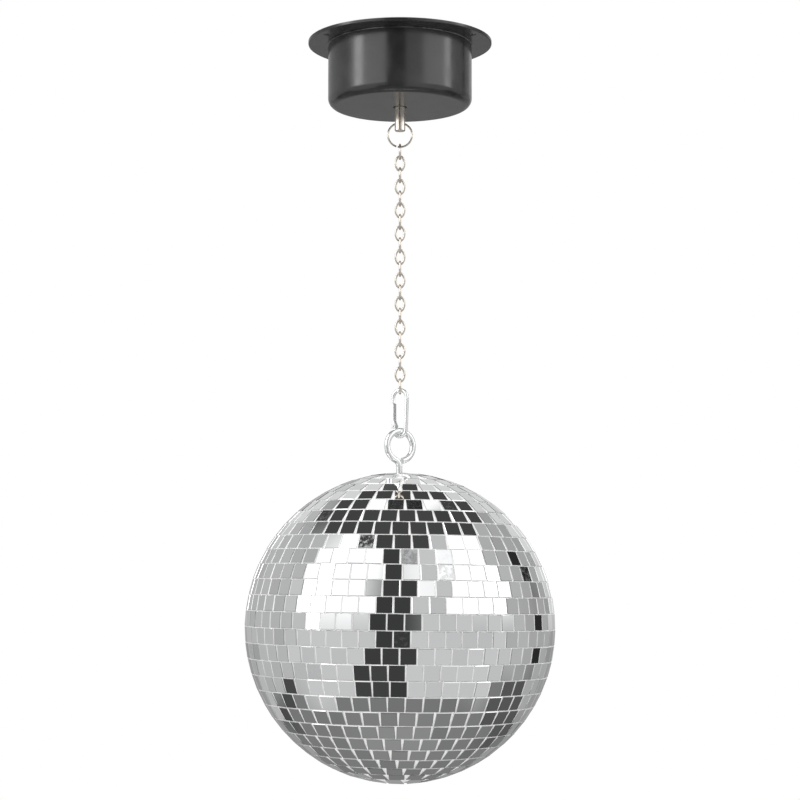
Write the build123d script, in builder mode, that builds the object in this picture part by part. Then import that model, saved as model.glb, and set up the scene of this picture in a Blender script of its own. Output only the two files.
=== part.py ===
from build123d import *
import math
import os

# Mirror ball hung on a chain from a ceiling motor. Millimetres, +Z up.
# The origin is the centre of the base plate's top face, which meets the ceiling.

os.makedirs("parts", exist_ok=True)

# ---------------------------------------------------------------- driving dimensions

# base plate and cover
plate_radius = 60
plate_thick = 2
plate_groove = 0.4
mount_circle = 107
mount_hole_radius = 2.5
cover_radius = 47
cover_wall = 1
cover_bottom_z = -42.9
cover_edge_radius = 5.3
cover_hole_radius = 4.5
collar_height = 6
collar_wall = 1.2
fit_gap = 0.1
cover_screw_angles = (25, 155)
cover_screw_z = -5.5
screw_radius = 1.45

# cable entry, at the back of the cover
entry_z = -15
entry_hole_radius = 4.2
entry_bore_radius = 3.3
entry_flange_radius = 5.2

# motor frame
frame_centre = (-5, 7)
frame_plate_radius = 34
frame_post_circle = 31
frame_post_angles = (0, 130, 240)
post_radius = 3
upper_plate_z = -17
lower_plate_z = -31.5
gear_plate_thick = 1.5

# stator and rotor
rotor_at = (-3, 15)
can_radius = 23
can_wall = 0.8
can_top_z = -3.5
pole_radius = 10.4
pole_count = 12
rotor_radius = 9
rotor_top_z = -5.5
rotor_bottom_z = -15.5
axle_radius = 0.75
axle_gap = 0.05

# gear train
fine_module = 0.5
coarse_module = 0.6
small_teeth = 10
large_teeth = 50
output_pinion_teeth = 12
output_teeth = 48
backlash = 0.08
root_gap = 0.12
pressure_angle = math.radians(20)
first_gear_at = (-18, 15)
second_gear_at = (-18, 0)

# output shaft
shaft_radius = 3.5
shaft_end_z = -58.7
cross_hole_z = -53.5
cross_hole_radius = 1.3
bush_radius = 5
bush_gap = 0.05
bush_flange_radius = 6.5
bush_flange_top_z = -30.5
shaft_seat_radius = 3
shaft_tip_radius = 2

# split ring
ring_radius = 7.9
ring_wire = 0.6
ring_gap_angle = 6

# chain
link_count = 21
link_length = 10.75
link_width = 7.2
link_wire = 0.75
link_gap = 0.06

# snap hook
hook_turn = -30
hook_wire = 1.3
hook_top_radius = 5.2
hook_bottom_radius = 4.4
hook_bottom_z = -258.75
hook_gap = 0.15
nose_length = 3.2
gate_pin_radius = 0.6

# eyebolt
eye_turn = 32
eye_wire = 2
eye_radius = 9.75
eye_gap = 0.25
shank_bend = 5
shank_offset = -0.55
shank_end_z = -298

# ball
ball_radius = 100
ball_z = -382.5
tile_side = 10
tile_thick = 1.5
tile_gap = 0.29
glue_gap = 0.1
rows_per_half = 14
cap_rows = 6
tile_roll = 0.7
core_wall = 2
lap_height = 4

# ---------------------------------------------------------------- places worked out

plate_bottom_z = -plate_thick
cover_inner = cover_radius - cover_wall
can_at = Plane(origin=(rotor_at[0], rotor_at[1], 0))
frame_at = Plane(origin=(frame_centre[0], frame_centre[1], 0))
posts = [
    (
        frame_centre[0] + frame_post_circle * math.cos(math.radians(a)),
        frame_centre[1] + frame_post_circle * math.sin(math.radians(a)),
    )
    for a in frame_post_angles
]

# the ring's wire bears on the lower edges of the cross hole, where it leaves the shaft
ring_sag = ring_radius - math.sqrt(ring_radius**2 - shaft_radius**2)
ring_top_z = cross_hole_z - cross_hole_radius + ring_wire + bush_gap + ring_sag
ring_z = ring_top_z - ring_radius

# each link hangs on the wire below the one before
link_half = link_length / 2 - link_wire
link_bend = link_width / 2 - link_wire
link_leg = link_half - link_bend
first_link_z = ring_z - ring_radius + ring_wire + link_wire + link_gap - link_half
link_pitch = 2 * link_half - 2 * link_wire - link_gap
last_link_bottom_z = first_link_z - (link_count - 1) * link_pitch - link_half

hook_top_z = last_link_bottom_z + link_wire + hook_wire + hook_gap
hook_length = hook_top_z - hook_top_radius - hook_bottom_z - hook_bottom_radius
hook_plane = Plane(
    origin=(0, 0, hook_top_z - hook_top_radius),
    x_dir=(math.cos(math.radians(hook_turn)), math.sin(math.radians(hook_turn)), 0),
    z_dir=(math.sin(math.radians(hook_turn)), -math.cos(math.radians(hook_turn)), 0),
)
hook_lean = math.degrees(math.asin((hook_top_radius - hook_bottom_radius) / hook_length))

eye_z = hook_bottom_z + hook_wire + eye_wire + eye_gap - eye_radius
eye_plane = Plane(
    origin=(0, 0, eye_z),
    x_dir=(math.cos(math.radians(eye_turn)), math.sin(math.radians(eye_turn)), 0),
    z_dir=(math.sin(math.radians(eye_turn)), -math.cos(math.radians(eye_turn)), 0),
)

tile_face = ball_radius - 0.2
core_radius = tile_face - tile_thick - glue_gap
core_inner = core_radius - core_wall
core_top_z = ball_z + core_radius

# ---------------------------------------------------------------- motor housing

# Pressed steel plate. A collar below holds the cover and a groove runs round the rim.
with BuildPart() as base_plate:
    with BuildSketch():
        Circle(plate_radius)
    extrude(amount=-plate_thick)
    fillet(base_plate.edges().filter_by(GeomType.CIRCLE).group_by(Axis.Z)[0], 0.5)
    with BuildSketch(Plane.XY.offset(-plate_thick / 2 - 0.1)):
        Circle(plate_radius)
        Circle(plate_radius - plate_groove, mode=Mode.SUBTRACT)
    extrude(amount=0.2, mode=Mode.SUBTRACT)
    with BuildSketch(Plane.XY.offset(plate_bottom_z)):
        Circle(cover_inner - fit_gap)
        Circle(cover_inner - fit_gap - collar_wall, mode=Mode.SUBTRACT)
    extrude(amount=-collar_height)
    with PolarLocations(mount_circle / 2, 3, start_angle=90):
        Hole(mount_hole_radius)
    with BuildSketch(Plane.XY.offset(plate_bottom_z)):
        with Locations(posts):
            Circle(screw_radius)
    extrude(amount=plate_thick - 0.6, mode=Mode.SUBTRACT)
    for angle in cover_screw_angles:
        with BuildSketch(Plane.XZ.rotated((0, 0, angle - 90))):
            with Locations((0, cover_screw_z)):
                Circle(screw_radius)
        extrude(amount=-plate_radius, mode=Mode.SUBTRACT)
base_plate.part.label = "base_plate"
export_step(base_plate.part, "parts/base_plate.step")

# Drawn steel cover with a rounded bottom edge, open at the top.
with BuildPart() as cover_cup:
    with BuildSketch(Plane.XY.offset(cover_bottom_z)):
        Circle(cover_radius)
    extrude(amount=plate_bottom_z - cover_bottom_z)
    fillet(cover_cup.edges().group_by(Axis.Z)[0], cover_edge_radius)
    offset(amount=-cover_wall, openings=cover_cup.faces().sort_by(Axis.Z)[-1])
    with BuildSketch(Plane.XY.offset(cover_bottom_z)):
        Circle(cover_hole_radius)
    extrude(amount=2 * cover_wall, mode=Mode.SUBTRACT)
    with BuildSketch(Plane.XZ):
        with Locations((0, entry_z)):
            Circle(entry_hole_radius)
    extrude(amount=-plate_radius, mode=Mode.SUBTRACT)
    for angle in cover_screw_angles:
        with BuildSketch(Plane.XZ.rotated((0, 0, angle - 90))):
            with Locations((0, cover_screw_z)):
                Circle(screw_radius + fit_gap)
        extrude(amount=-plate_radius, mode=Mode.SUBTRACT)
cover_cup.part.label = "cover_cup"
export_step(cover_cup.part, "parts/cover_cup.step")

# Two pan-head screws that lock the cover to the collar.
screw_head_radius = 2.8
screw_head_thick = 1.4
screw_tip_radius = 43.5
cross_long = 3.4
cross_wide = 0.7
with BuildPart() as cover_screws:
    for angle in cover_screw_angles:
        screw_axis = Plane.XZ.rotated((0, 0, angle - 90))
        with BuildSketch(screw_axis.offset(-screw_tip_radius)):
            with Locations((0, cover_screw_z)):
                Circle(screw_radius)
        extrude(amount=-(cover_radius + fit_gap - screw_tip_radius))
        with BuildSketch(screw_axis.offset(-cover_radius - fit_gap)):
            with Locations((0, cover_screw_z)):
                Circle(screw_head_radius)
        extrude(amount=-screw_head_thick)
        with BuildSketch(screw_axis.offset(-cover_radius - fit_gap - cross_wide)):
            with Locations((0, cover_screw_z)):
                Rectangle(cross_long, cross_wide)
                Rectangle(cross_wide, cross_long)
        extrude(amount=-screw_head_thick, mode=Mode.SUBTRACT)
cover_screws.part.label = "cover_screws"
export_step(cover_screws.part, "parts/cover_screws.step")

# Rubber grommet snapped into the cable hole: two flanges and a groove.
groove_back = 45.6
groove_front = 47.15
with BuildPart() as cable_grommet:
    with BuildSketch(Plane.XZ.offset(-groove_back + 1.2)):
        with Locations((0, entry_z)):
            Circle(entry_flange_radius)
    extrude(amount=-1.2)
    with BuildSketch(Plane.XZ.offset(-groove_back)):
        with Locations((0, entry_z)):
            Circle(entry_hole_radius - fit_gap)
    extrude(amount=groove_back - groove_front)
    with BuildSketch(Plane.XZ.offset(-groove_front)):
        with Locations((0, entry_z)):
            Circle(entry_flange_radius)
    extrude(amount=-2, taper=15)
    with BuildSketch(Plane.XZ):
        with Locations((0, entry_z)):
            Circle(entry_bore_radius)
    extrude(amount=-plate_radius, mode=Mode.SUBTRACT)
cable_grommet.part.label = "cable_grommet"
export_step(cable_grommet.part, "parts/cable_grommet.step")

# Nylon terminal block on the base plate, with two screw wells and a wire way through each.
terminal_at = (22, -22)
terminal_wells = [(terminal_at[0] - 4, terminal_at[1]), (terminal_at[0] + 4, terminal_at[1])]
terminal_height = 9
wire_way_z = plate_bottom_z - 4.2
with BuildPart() as terminal_block:
    with BuildSketch(Plane.XY.offset(plate_bottom_z)):
        with Locations(terminal_at):
            RectangleRounded(17, 11, 1)
    extrude(amount=-terminal_height)
    with BuildSketch(Plane.XY.offset(plate_bottom_z - terminal_height)):
        with Locations(terminal_wells):
            Circle(2.2)
    extrude(amount=6.5, mode=Mode.SUBTRACT)
    with BuildSketch(Plane.XZ.offset(-terminal_at[1] - 6)):
        with Locations([(x, wire_way_z) for x, y in terminal_wells]):
            Circle(1)
    extrude(amount=12, mode=Mode.SUBTRACT)
terminal_block.part.label = "terminal_block"
export_step(terminal_block.part, "parts/terminal_block.step")

# Brass clamping screws in the terminal's wells.
with BuildPart() as terminal_screws:
    with BuildSketch(Plane.XY.offset(plate_bottom_z - terminal_height + 0.6)):
        with Locations(terminal_wells):
            Circle(2)
    extrude(amount=3)
    with BuildSketch(Plane.XY.offset(plate_bottom_z - terminal_height + 0.6)):
        with Locations(terminal_wells):
            Rectangle(4, 0.6)
    extrude(amount=0.7, mode=Mode.SUBTRACT)
terminal_screws.part.label = "terminal_screws"
export_step(terminal_screws.part, "parts/terminal_screws.step")

# ---------------------------------------------------------------- motor frame

# Three steel posts between the base plate and the upper gear plate.
with BuildPart() as standoffs:
    with BuildSketch(Plane.XY.offset(plate_bottom_z)):
        with Locations(posts):
            RegularPolygon(post_radius, 6)
            Circle(screw_radius + fit_gap, mode=Mode.SUBTRACT)
    extrude(amount=upper_plate_z - plate_bottom_z)
standoffs.part.label = "standoffs"
export_step(standoffs.part, "parts/standoffs.step")

# Steel plate that closes the motor can and holds the top ends of the gear axles.
with BuildPart() as upper_gear_plate:
    with BuildSketch(frame_at.offset(upper_plate_z)):
        Circle(frame_plate_radius)
    extrude(amount=-gear_plate_thick)
    with BuildSketch(Plane.XY.offset(upper_plate_z)):
        with Locations(posts):
            Circle(screw_radius + fit_gap)
        with Locations(first_gear_at, second_gear_at):
            Circle(axle_radius)
        with Locations(rotor_at):
            Circle(4)
        Circle(shaft_tip_radius + bush_gap)
    extrude(amount=-gear_plate_thick, mode=Mode.SUBTRACT)
upper_gear_plate.part.label = "upper_gear_plate"
export_step(upper_gear_plate.part, "parts/upper_gear_plate.step")

# Tube spacers between the two gear plates.
with BuildPart() as gear_spacers:
    with BuildSketch(Plane.XY.offset(upper_plate_z - gear_plate_thick)):
        with Locations(posts):
            Circle(post_radius)
            Circle(screw_radius + fit_gap, mode=Mode.SUBTRACT)
    extrude(amount=lower_plate_z - upper_plate_z + gear_plate_thick)
gear_spacers.part.label = "gear_spacers"
export_step(gear_spacers.part, "parts/gear_spacers.step")

# Steel plate that carries the output bush.
with BuildPart() as lower_gear_plate:
    with BuildSketch(frame_at.offset(lower_plate_z)):
        Circle(frame_plate_radius)
    extrude(amount=-gear_plate_thick)
    with BuildSketch(Plane.XY.offset(lower_plate_z)):
        with Locations(posts):
            Circle(screw_radius + fit_gap)
        with Locations(first_gear_at, second_gear_at):
            Circle(axle_radius)
        Circle(bush_radius)
    extrude(amount=-gear_plate_thick, mode=Mode.SUBTRACT)
lower_gear_plate.part.label = "lower_gear_plate"
export_step(lower_gear_plate.part, "parts/lower_gear_plate.step")

# Long screws that clamp the whole stack to the base plate.
frame_head_z = lower_plate_z - gear_plate_thick
with BuildPart() as frame_screws:
    with BuildSketch(Plane.XY.offset(frame_head_z)):
        with Locations(posts):
            Circle(screw_radius)
    extrude(amount=-frame_head_z - 0.8)
    with BuildSketch(Plane.XY.offset(frame_head_z)):
        with Locations(posts):
            Circle(screw_head_radius)
    extrude(amount=-2)
    with BuildSketch(Plane.XY.offset(frame_head_z - 2)):
        with Locations(posts):
            RegularPolygon(1.4, 6)
    extrude(amount=1.2, mode=Mode.SUBTRACT)
frame_screws.part.label = "frame_screws"
export_step(frame_screws.part, "parts/frame_screws.step")

# ---------------------------------------------------------------- stator

# Steel can, closed above, that carries the coil.
with BuildPart() as motor_can:
    with BuildSketch(can_at.offset(upper_plate_z)):
        Circle(can_radius)
    extrude(amount=can_top_z - upper_plate_z)
    fillet(motor_can.edges().group_by(Axis.Z)[-1], 1.6)
    offset(amount=-can_wall, openings=motor_can.faces().sort_by(Axis.Z)[0])
    with BuildSketch(can_at.offset(can_top_z)):
        Circle(axle_radius)
    extrude(amount=-2 * can_wall, mode=Mode.SUBTRACT)
motor_can.part.label = "motor_can"
export_step(motor_can.part, "parts/motor_can.step")

# Ring of steel pole fingers that stand round the rotor.
pole_foot_z = upper_plate_z
pole_top_z = -6
with BuildPart() as pole_ring:
    with BuildSketch(can_at.offset(pole_foot_z)):
        Circle(can_radius - can_wall - fit_gap)
        Circle(pole_radius - 0.8, mode=Mode.SUBTRACT)
    extrude(amount=0.8)
    with BuildSketch(can_at.offset(pole_foot_z)):
        Circle(pole_radius)
        Circle(pole_radius - 0.8, mode=Mode.SUBTRACT)
    extrude(amount=pole_top_z - pole_foot_z)
    with BuildSketch(can_at.offset(pole_foot_z + 0.8)):
        with PolarLocations(pole_radius, pole_count):
            Rectangle(4, 2.4)
    extrude(amount=pole_top_z - pole_foot_z, mode=Mode.SUBTRACT)
pole_ring.part.label = "pole_ring"
export_step(pole_ring.part, "parts/pole_ring.step")

# Nylon bobbin with two flanges.
bobbin_bore = pole_radius + fit_gap
bobbin_flange = can_radius - can_wall - 0.3
bobbin_bottom_z = pole_foot_z + 1
bobbin_top_z = -5
with BuildPart() as coil_bobbin:
    with BuildSketch(can_at.offset(bobbin_bottom_z)):
        Circle(bobbin_bore + 1)
        Circle(bobbin_bore, mode=Mode.SUBTRACT)
    extrude(amount=bobbin_top_z - bobbin_bottom_z)
    for flange_z in (bobbin_bottom_z, bobbin_top_z - 0.8):
        with BuildSketch(can_at.offset(flange_z)):
            Circle(bobbin_flange)
            Circle(bobbin_bore, mode=Mode.SUBTRACT)
        extrude(amount=0.8)
coil_bobbin.part.label = "coil_bobbin"
export_step(coil_bobbin.part, "parts/coil_bobbin.step")

# The wound copper coil, taken as one ring.
with BuildPart() as coil_winding:
    with BuildSketch(can_at.offset(bobbin_bottom_z + 0.8)):
        Circle(bobbin_flange - 1.2)
        Circle(bobbin_bore + 1, mode=Mode.SUBTRACT)
    extrude(amount=bobbin_top_z - bobbin_bottom_z - 1.6)
coil_winding.part.label = "coil_winding"
export_step(coil_winding.part, "parts/coil_winding.step")

# Two insulated leads from the can's side to the terminal.
lead_radius = 0.8
lead_routes = [
    [(13, -2.4, -9), (15.5, -7, -8.5), (18, -11, wire_way_z), (18, -16.3, wire_way_z)],
    [(15.8, 0, -9), (20.5, -4.5, -8.5), (26, -10, wire_way_z), (26, -16.3, wire_way_z)],
]
with BuildPart() as lead_wires:
    for route in lead_routes:
        with BuildLine() as lead_path:
            FilletPolyline(*route, radius=2.5)
        with BuildSketch(Plane(origin=lead_path.line @ 0, z_dir=lead_path.line % 0)):
            Circle(lead_radius)
        sweep(path=lead_path.line)
lead_wires.part.label = "lead_wires"
export_step(lead_wires.part, "parts/lead_wires.step")

# ---------------------------------------------------------------- gears


def involute_turn(radius, base_radius):
    """Angle by which an involute has turned at a radius outside its base circle."""
    slope = math.acos(min(1, base_radius / radius))
    return math.tan(slope) - slope


def gear_points(teeth, module, tip, root, phase):
    """Outline of a gear with one tooth centred on the phase angle, in degrees."""
    pitch = teeth * module / 2
    base = pitch * math.cos(pressure_angle)
    half = math.pi / (2 * teeth) - backlash / (2 * pitch)
    half += involute_turn(pitch, base)
    start = max(base, root)
    radii = [start + (tip - start) * step / 4 for step in range(5)]
    flank = [(r, half - involute_turn(r, base)) for r in radii]
    if base > root:
        flank.insert(0, (root, flank[0][1]))
    points = []
    for tooth in range(teeth):
        centre = math.radians(phase) + 2 * math.pi * tooth / teeth
        rising = [(r, centre - a) for r, a in flank]
        falling = [(r, centre + a) for r, a in reversed(flank)]
        points += [(r * math.cos(a), r * math.sin(a)) for r, a in rising + falling]
    return points


def toward(start, end):
    """Direction from one gear centre to another, in degrees."""
    return math.degrees(math.atan2(end[1] - start[1], end[0] - start[0]))


def mesh_radii(pinion_teeth, wheel_teeth, module):
    """Tip and root radii of a pinion and its wheel, with short teeth on the wheel."""
    distance = (pinion_teeth + wheel_teeth) * module / 2
    pinion_tip = pinion_teeth * module / 2 + 0.8 * module
    wheel_tip = wheel_teeth * module / 2 + 0.6 * module
    return (
        pinion_tip,
        distance - wheel_tip - root_gap,
        wheel_tip,
        distance - pinion_tip - root_gap,
    )


fine_pinion_tip, fine_pinion_root, fine_wheel_tip, fine_wheel_root = mesh_radii(
    small_teeth, large_teeth, fine_module
)
coarse_pinion_tip, coarse_pinion_root, coarse_wheel_tip, coarse_wheel_root = mesh_radii(
    output_pinion_teeth, output_teeth, coarse_module
)
bore = axle_radius + axle_gap
hub_radius = 1.7
hub_top_z = upper_plate_z - gear_plate_thick - 0.2
hub_bottom_z = lower_plate_z + 0.2

# Steel pins: one for the rotor, pressed into the can, and one for each compound gear.
rotor_pin_end_z = -22.3
with BuildPart() as gear_axles:
    with BuildSketch(Plane.XY.offset(lower_plate_z - gear_plate_thick)):
        with Locations(first_gear_at, second_gear_at):
            Circle(axle_radius)
    extrude(amount=upper_plate_z - lower_plate_z + gear_plate_thick)
    with BuildSketch(can_at.offset(can_top_z)):
        Circle(axle_radius)
    extrude(amount=rotor_pin_end_z - can_top_z)
gear_axles.part.label = "gear_axles"
export_step(gear_axles.part, "parts/gear_axles.step")

# Ring magnet of the rotor.
rotor_stem = 2
with BuildPart() as rotor_magnet:
    with BuildSketch(can_at.offset(rotor_bottom_z)):
        Circle(rotor_radius)
        Circle(rotor_stem, mode=Mode.SUBTRACT)
    extrude(amount=rotor_top_z - rotor_bottom_z)
    chamfer(rotor_magnet.edges().filter_by(GeomType.CIRCLE).sort_by(SortBy.RADIUS)[-2:], 0.4)
rotor_magnet.part.label = "rotor_magnet"
export_step(rotor_magnet.part, "parts/rotor_magnet.step")

# Nylon pinion moulded on a stem that fills the magnet's bore.
rotor_pinion_z = -21.7
rotor_pinion_thick = 2.6
rotor_mesh = toward(rotor_at, first_gear_at)
with BuildPart() as rotor_pinion:
    with BuildSketch(can_at.offset(rotor_pinion_z)):
        with BuildLine():
            Polyline(gear_points(small_teeth, fine_module, fine_pinion_tip,
                                 fine_pinion_root, rotor_mesh), close=True)
        make_face()
    extrude(amount=rotor_pinion_thick)
    with BuildSketch(can_at.offset(rotor_pinion_z + rotor_pinion_thick)):
        Circle(rotor_stem)
    extrude(amount=rotor_top_z - rotor_pinion_z - rotor_pinion_thick)
    with BuildSketch(can_at.offset(rotor_pinion_z)):
        Circle(bore)
    extrude(amount=rotor_top_z - rotor_pinion_z, mode=Mode.SUBTRACT)
rotor_pinion.part.label = "rotor_pinion"
export_step(rotor_pinion.part, "parts/rotor_pinion.step")


wheel_window_radius = 2.6
fine_windows = 5
fine_window_circle = 7.6
fine_wheel_thick = 1.8
first_wheel_z = -19.7
first_pinion_thick = 3.1
second_wheel_z = -22.5
second_pinion_thick = 5


def compound_gear(centre, wheel, wheel_top_z, wheel_thick, pinion, pinion_thick):
    """Wheel and pinion moulded in one, with hubs that reach to both gear plates."""
    at = Plane(origin=(centre[0], centre[1], 0))
    with BuildPart() as gear:
        with BuildSketch(at.offset(wheel_top_z - wheel_thick)):
            with BuildLine():
                Polyline(wheel, close=True)
            make_face()
            with PolarLocations(fine_window_circle, fine_windows):
                Circle(wheel_window_radius, mode=Mode.SUBTRACT)
        extrude(amount=wheel_thick)
        with BuildSketch(at.offset(wheel_top_z - wheel_thick - pinion_thick)):
            with BuildLine():
                Polyline(pinion, close=True)
            make_face()
        extrude(amount=pinion_thick)
        with BuildSketch(at.offset(hub_bottom_z)):
            Circle(hub_radius)
        extrude(amount=hub_top_z - hub_bottom_z)
        with BuildSketch(at.offset(hub_bottom_z)):
            Circle(bore)
        extrude(amount=hub_top_z - hub_bottom_z, mode=Mode.SUBTRACT)
    return gear


first_gear = compound_gear(
    first_gear_at,
    gear_points(large_teeth, fine_module, fine_wheel_tip, fine_wheel_root,
                rotor_mesh + 180 + 180 / large_teeth),
    first_wheel_z, fine_wheel_thick,
    gear_points(small_teeth, fine_module, fine_pinion_tip, fine_pinion_root,
                toward(first_gear_at, second_gear_at)),
    first_pinion_thick,
)
first_gear.part.label = "first_gear"
export_step(first_gear.part, "parts/first_gear.step")

second_gear = compound_gear(
    second_gear_at,
    gear_points(large_teeth, fine_module, fine_wheel_tip, fine_wheel_root,
                toward(first_gear_at, second_gear_at) + 180 + 180 / large_teeth),
    second_wheel_z, fine_wheel_thick,
    gear_points(output_pinion_teeth, coarse_module, coarse_pinion_tip,
                coarse_pinion_root, toward(second_gear_at, (0, 0))),
    second_pinion_thick,
)
second_gear.part.label = "second_gear"
export_step(second_gear.part, "parts/second_gear.step")

# Output wheel, pressed on the shaft's seat.
output_wheel_z = -29.1
output_wheel_thick = 3.5
output_windows = 6
output_window_circle = 8.8
with BuildPart() as output_gear:
    with BuildSketch(Plane.XY.offset(output_wheel_z)):
        with BuildLine():
            Polyline(gear_points(output_teeth, coarse_module, coarse_wheel_tip, coarse_wheel_root,
                                 toward(second_gear_at, (0, 0)) + 180 + 180 / output_teeth),
                     close=True)
        make_face()
        Circle(shaft_seat_radius, mode=Mode.SUBTRACT)
        with PolarLocations(output_window_circle, output_windows):
            Circle(wheel_window_radius, mode=Mode.SUBTRACT)
    extrude(amount=output_wheel_thick)
output_gear.part.label = "output_gear"
export_step(output_gear.part, "parts/output_gear.step")

# ---------------------------------------------------------------- output shaft

# Flanged bronze bush in the lower plate. Its flange carries the ball's weight.
with BuildPart() as output_bush:
    with BuildSketch(Plane.XY.offset(bush_flange_top_z)):
        Circle(bush_flange_radius)
    extrude(amount=lower_plate_z - bush_flange_top_z)
    with BuildSketch(Plane.XY.offset(lower_plate_z)):
        Circle(bush_radius)
    extrude(amount=-6)
    with BuildSketch(Plane.XY.offset(bush_flange_top_z)):
        Circle(shaft_radius + bush_gap)
    extrude(amount=-12, mode=Mode.SUBTRACT)
output_bush.part.label = "output_bush"
export_step(output_bush.part, "parts/output_bush.step")

# Nickel-plated shaft: collar on the bush, seat for the wheel, and the cross hole below.
collar_bottom_z = bush_flange_top_z + bush_gap
clip_z = output_wheel_z + output_wheel_thick
with BuildPart() as output_shaft:
    with BuildSketch(Plane.XY.offset(shaft_end_z)):
        Circle(shaft_radius)
    extrude(amount=collar_bottom_z - shaft_end_z)
    chamfer(output_shaft.edges().group_by(Axis.Z)[0], 0.4)
    with BuildSketch(Plane.XY.offset(collar_bottom_z)):
        Circle(bush_flange_radius - 0.5)
    extrude(amount=output_wheel_z - collar_bottom_z)
    with BuildSketch(Plane.XY.offset(output_wheel_z)):
        Circle(shaft_seat_radius)
    extrude(amount=output_wheel_thick + 0.2)
    with BuildSketch(Plane.XY.offset(clip_z)):
        Circle(shaft_tip_radius)
    extrude(amount=upper_plate_z - 0.2 - clip_z)
    with BuildSketch(Plane.XY.offset(clip_z)):
        Circle(shaft_seat_radius)
        Circle(shaft_tip_radius - 0.4, mode=Mode.SUBTRACT)
    extrude(amount=0.6, mode=Mode.SUBTRACT)
    with BuildSketch(Plane.YZ):
        with Locations((0, cross_hole_z)):
            Circle(cross_hole_radius)
    extrude(amount=2 * shaft_radius, both=True, mode=Mode.SUBTRACT)
output_shaft.part.label = "output_shaft"
export_step(output_shaft.part, "parts/output_shaft.step")

# Open retaining clip in the groove above the wheel.
clip_play = 0.05
clip_radius = 3.6
clip_bite = 0.35
clip_mouth = (3.4, 2)
clip_mouth_at = 2.6
clip_thick = 0.5
with BuildPart() as shaft_clip:
    with BuildSketch(Plane.XY.offset(clip_z + clip_play)):
        Circle(clip_radius)
        Circle(shaft_tip_radius - clip_bite, mode=Mode.SUBTRACT)
        with Locations((clip_mouth_at, 0)):
            Rectangle(*clip_mouth, mode=Mode.SUBTRACT)
    extrude(amount=clip_thick)
shaft_clip.part.label = "shaft_clip"
export_step(shaft_clip.part, "parts/shaft_clip.step")

# ---------------------------------------------------------------- ring and chain

# Open wire ring. Its gap lies just left of the first link.
ring_gap_at = -104
with BuildPart() as split_ring:
    with BuildLine(Plane.XZ) as ring_path:
        CenterArc((0, ring_z), ring_radius, ring_gap_at + ring_gap_angle / 2, 360 - ring_gap_angle)
    with BuildSketch(Plane(origin=ring_path.line @ 0, z_dir=ring_path.line % 0)):
        Circle(ring_wire)
    sweep(path=ring_path.line)
split_ring.part.label = "split_ring"
export_step(split_ring.part, "parts/split_ring.step")

# Welded oval links, each a quarter turn from the one before.
for number in range(1, link_count + 1):
    link_z = first_link_z - (number - 1) * link_pitch
    facing = Plane.YZ if number % 2 else Plane.XZ
    link_plane = Plane(origin=(0, 0, link_z), x_dir=facing.x_dir, z_dir=facing.z_dir)
    with BuildPart() as link:
        with BuildLine(link_plane) as link_path:
            Line((link_bend, 0), (link_bend, link_leg))
            CenterArc((0, link_leg), link_bend, 0, 180)
            Line((-link_bend, link_leg), (-link_bend, -link_leg))
            CenterArc((0, -link_leg), link_bend, 180, 180)
            Line((link_bend, -link_leg), (link_bend, 0))
        with BuildSketch(Plane(origin=link_path.line @ 0, z_dir=link_path.line % 0)):
            Circle(link_wire)
        sweep(path=link_path.line)
    link.part.label = f"chain_link_{number:02d}"
    export_step(link.part, f"parts/chain_link_{number:02d}.step")

# ---------------------------------------------------------------- snap hook

# Bent body: short nose, wide top bend, spine, narrow bottom bend and a flat tongue.
lean = math.radians(hook_lean)
bottom_centre = (0, -hook_length)
tongue_centre = (-hook_bottom_radius, -hook_length + 2.4)
with BuildPart() as hook_body:
    with BuildLine(hook_plane) as hook_path:
        Line((-hook_top_radius, -nose_length), (-hook_top_radius, 0))
        CenterArc((0, 0), hook_top_radius, 180, -180 - hook_lean)
        Line(
            (hook_top_radius * math.cos(lean), -hook_top_radius * math.sin(lean)),
            (
                hook_bottom_radius * math.cos(lean),
                -hook_length - hook_bottom_radius * math.sin(lean),
            ),
        )
        CenterArc(bottom_centre, hook_bottom_radius, -hook_lean, hook_lean - 180)
        Line((-hook_bottom_radius, -hook_length), (-hook_bottom_radius, -hook_length + 0.4))
    with BuildSketch(Plane(origin=hook_path.line @ 0, z_dir=hook_path.line % 0)):
        Circle(hook_wire)
    sweep(path=hook_path.line)
    with BuildSketch(hook_plane.offset(-0.75)):
        with Locations(tongue_centre):
            Circle(hook_wire)
        with Locations((-hook_bottom_radius, -hook_length + 1.2)):
            Rectangle(2 * hook_wire, 2.4)
    extrude(amount=1.5)
    with BuildSketch(hook_plane.offset(-2)):
        with Locations(tongue_centre):
            Circle(gate_pin_radius)
    extrude(amount=4, mode=Mode.SUBTRACT)
hook_body.part.label = "hook_body"
export_step(hook_body.part, "parts/hook_body.step")

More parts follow.
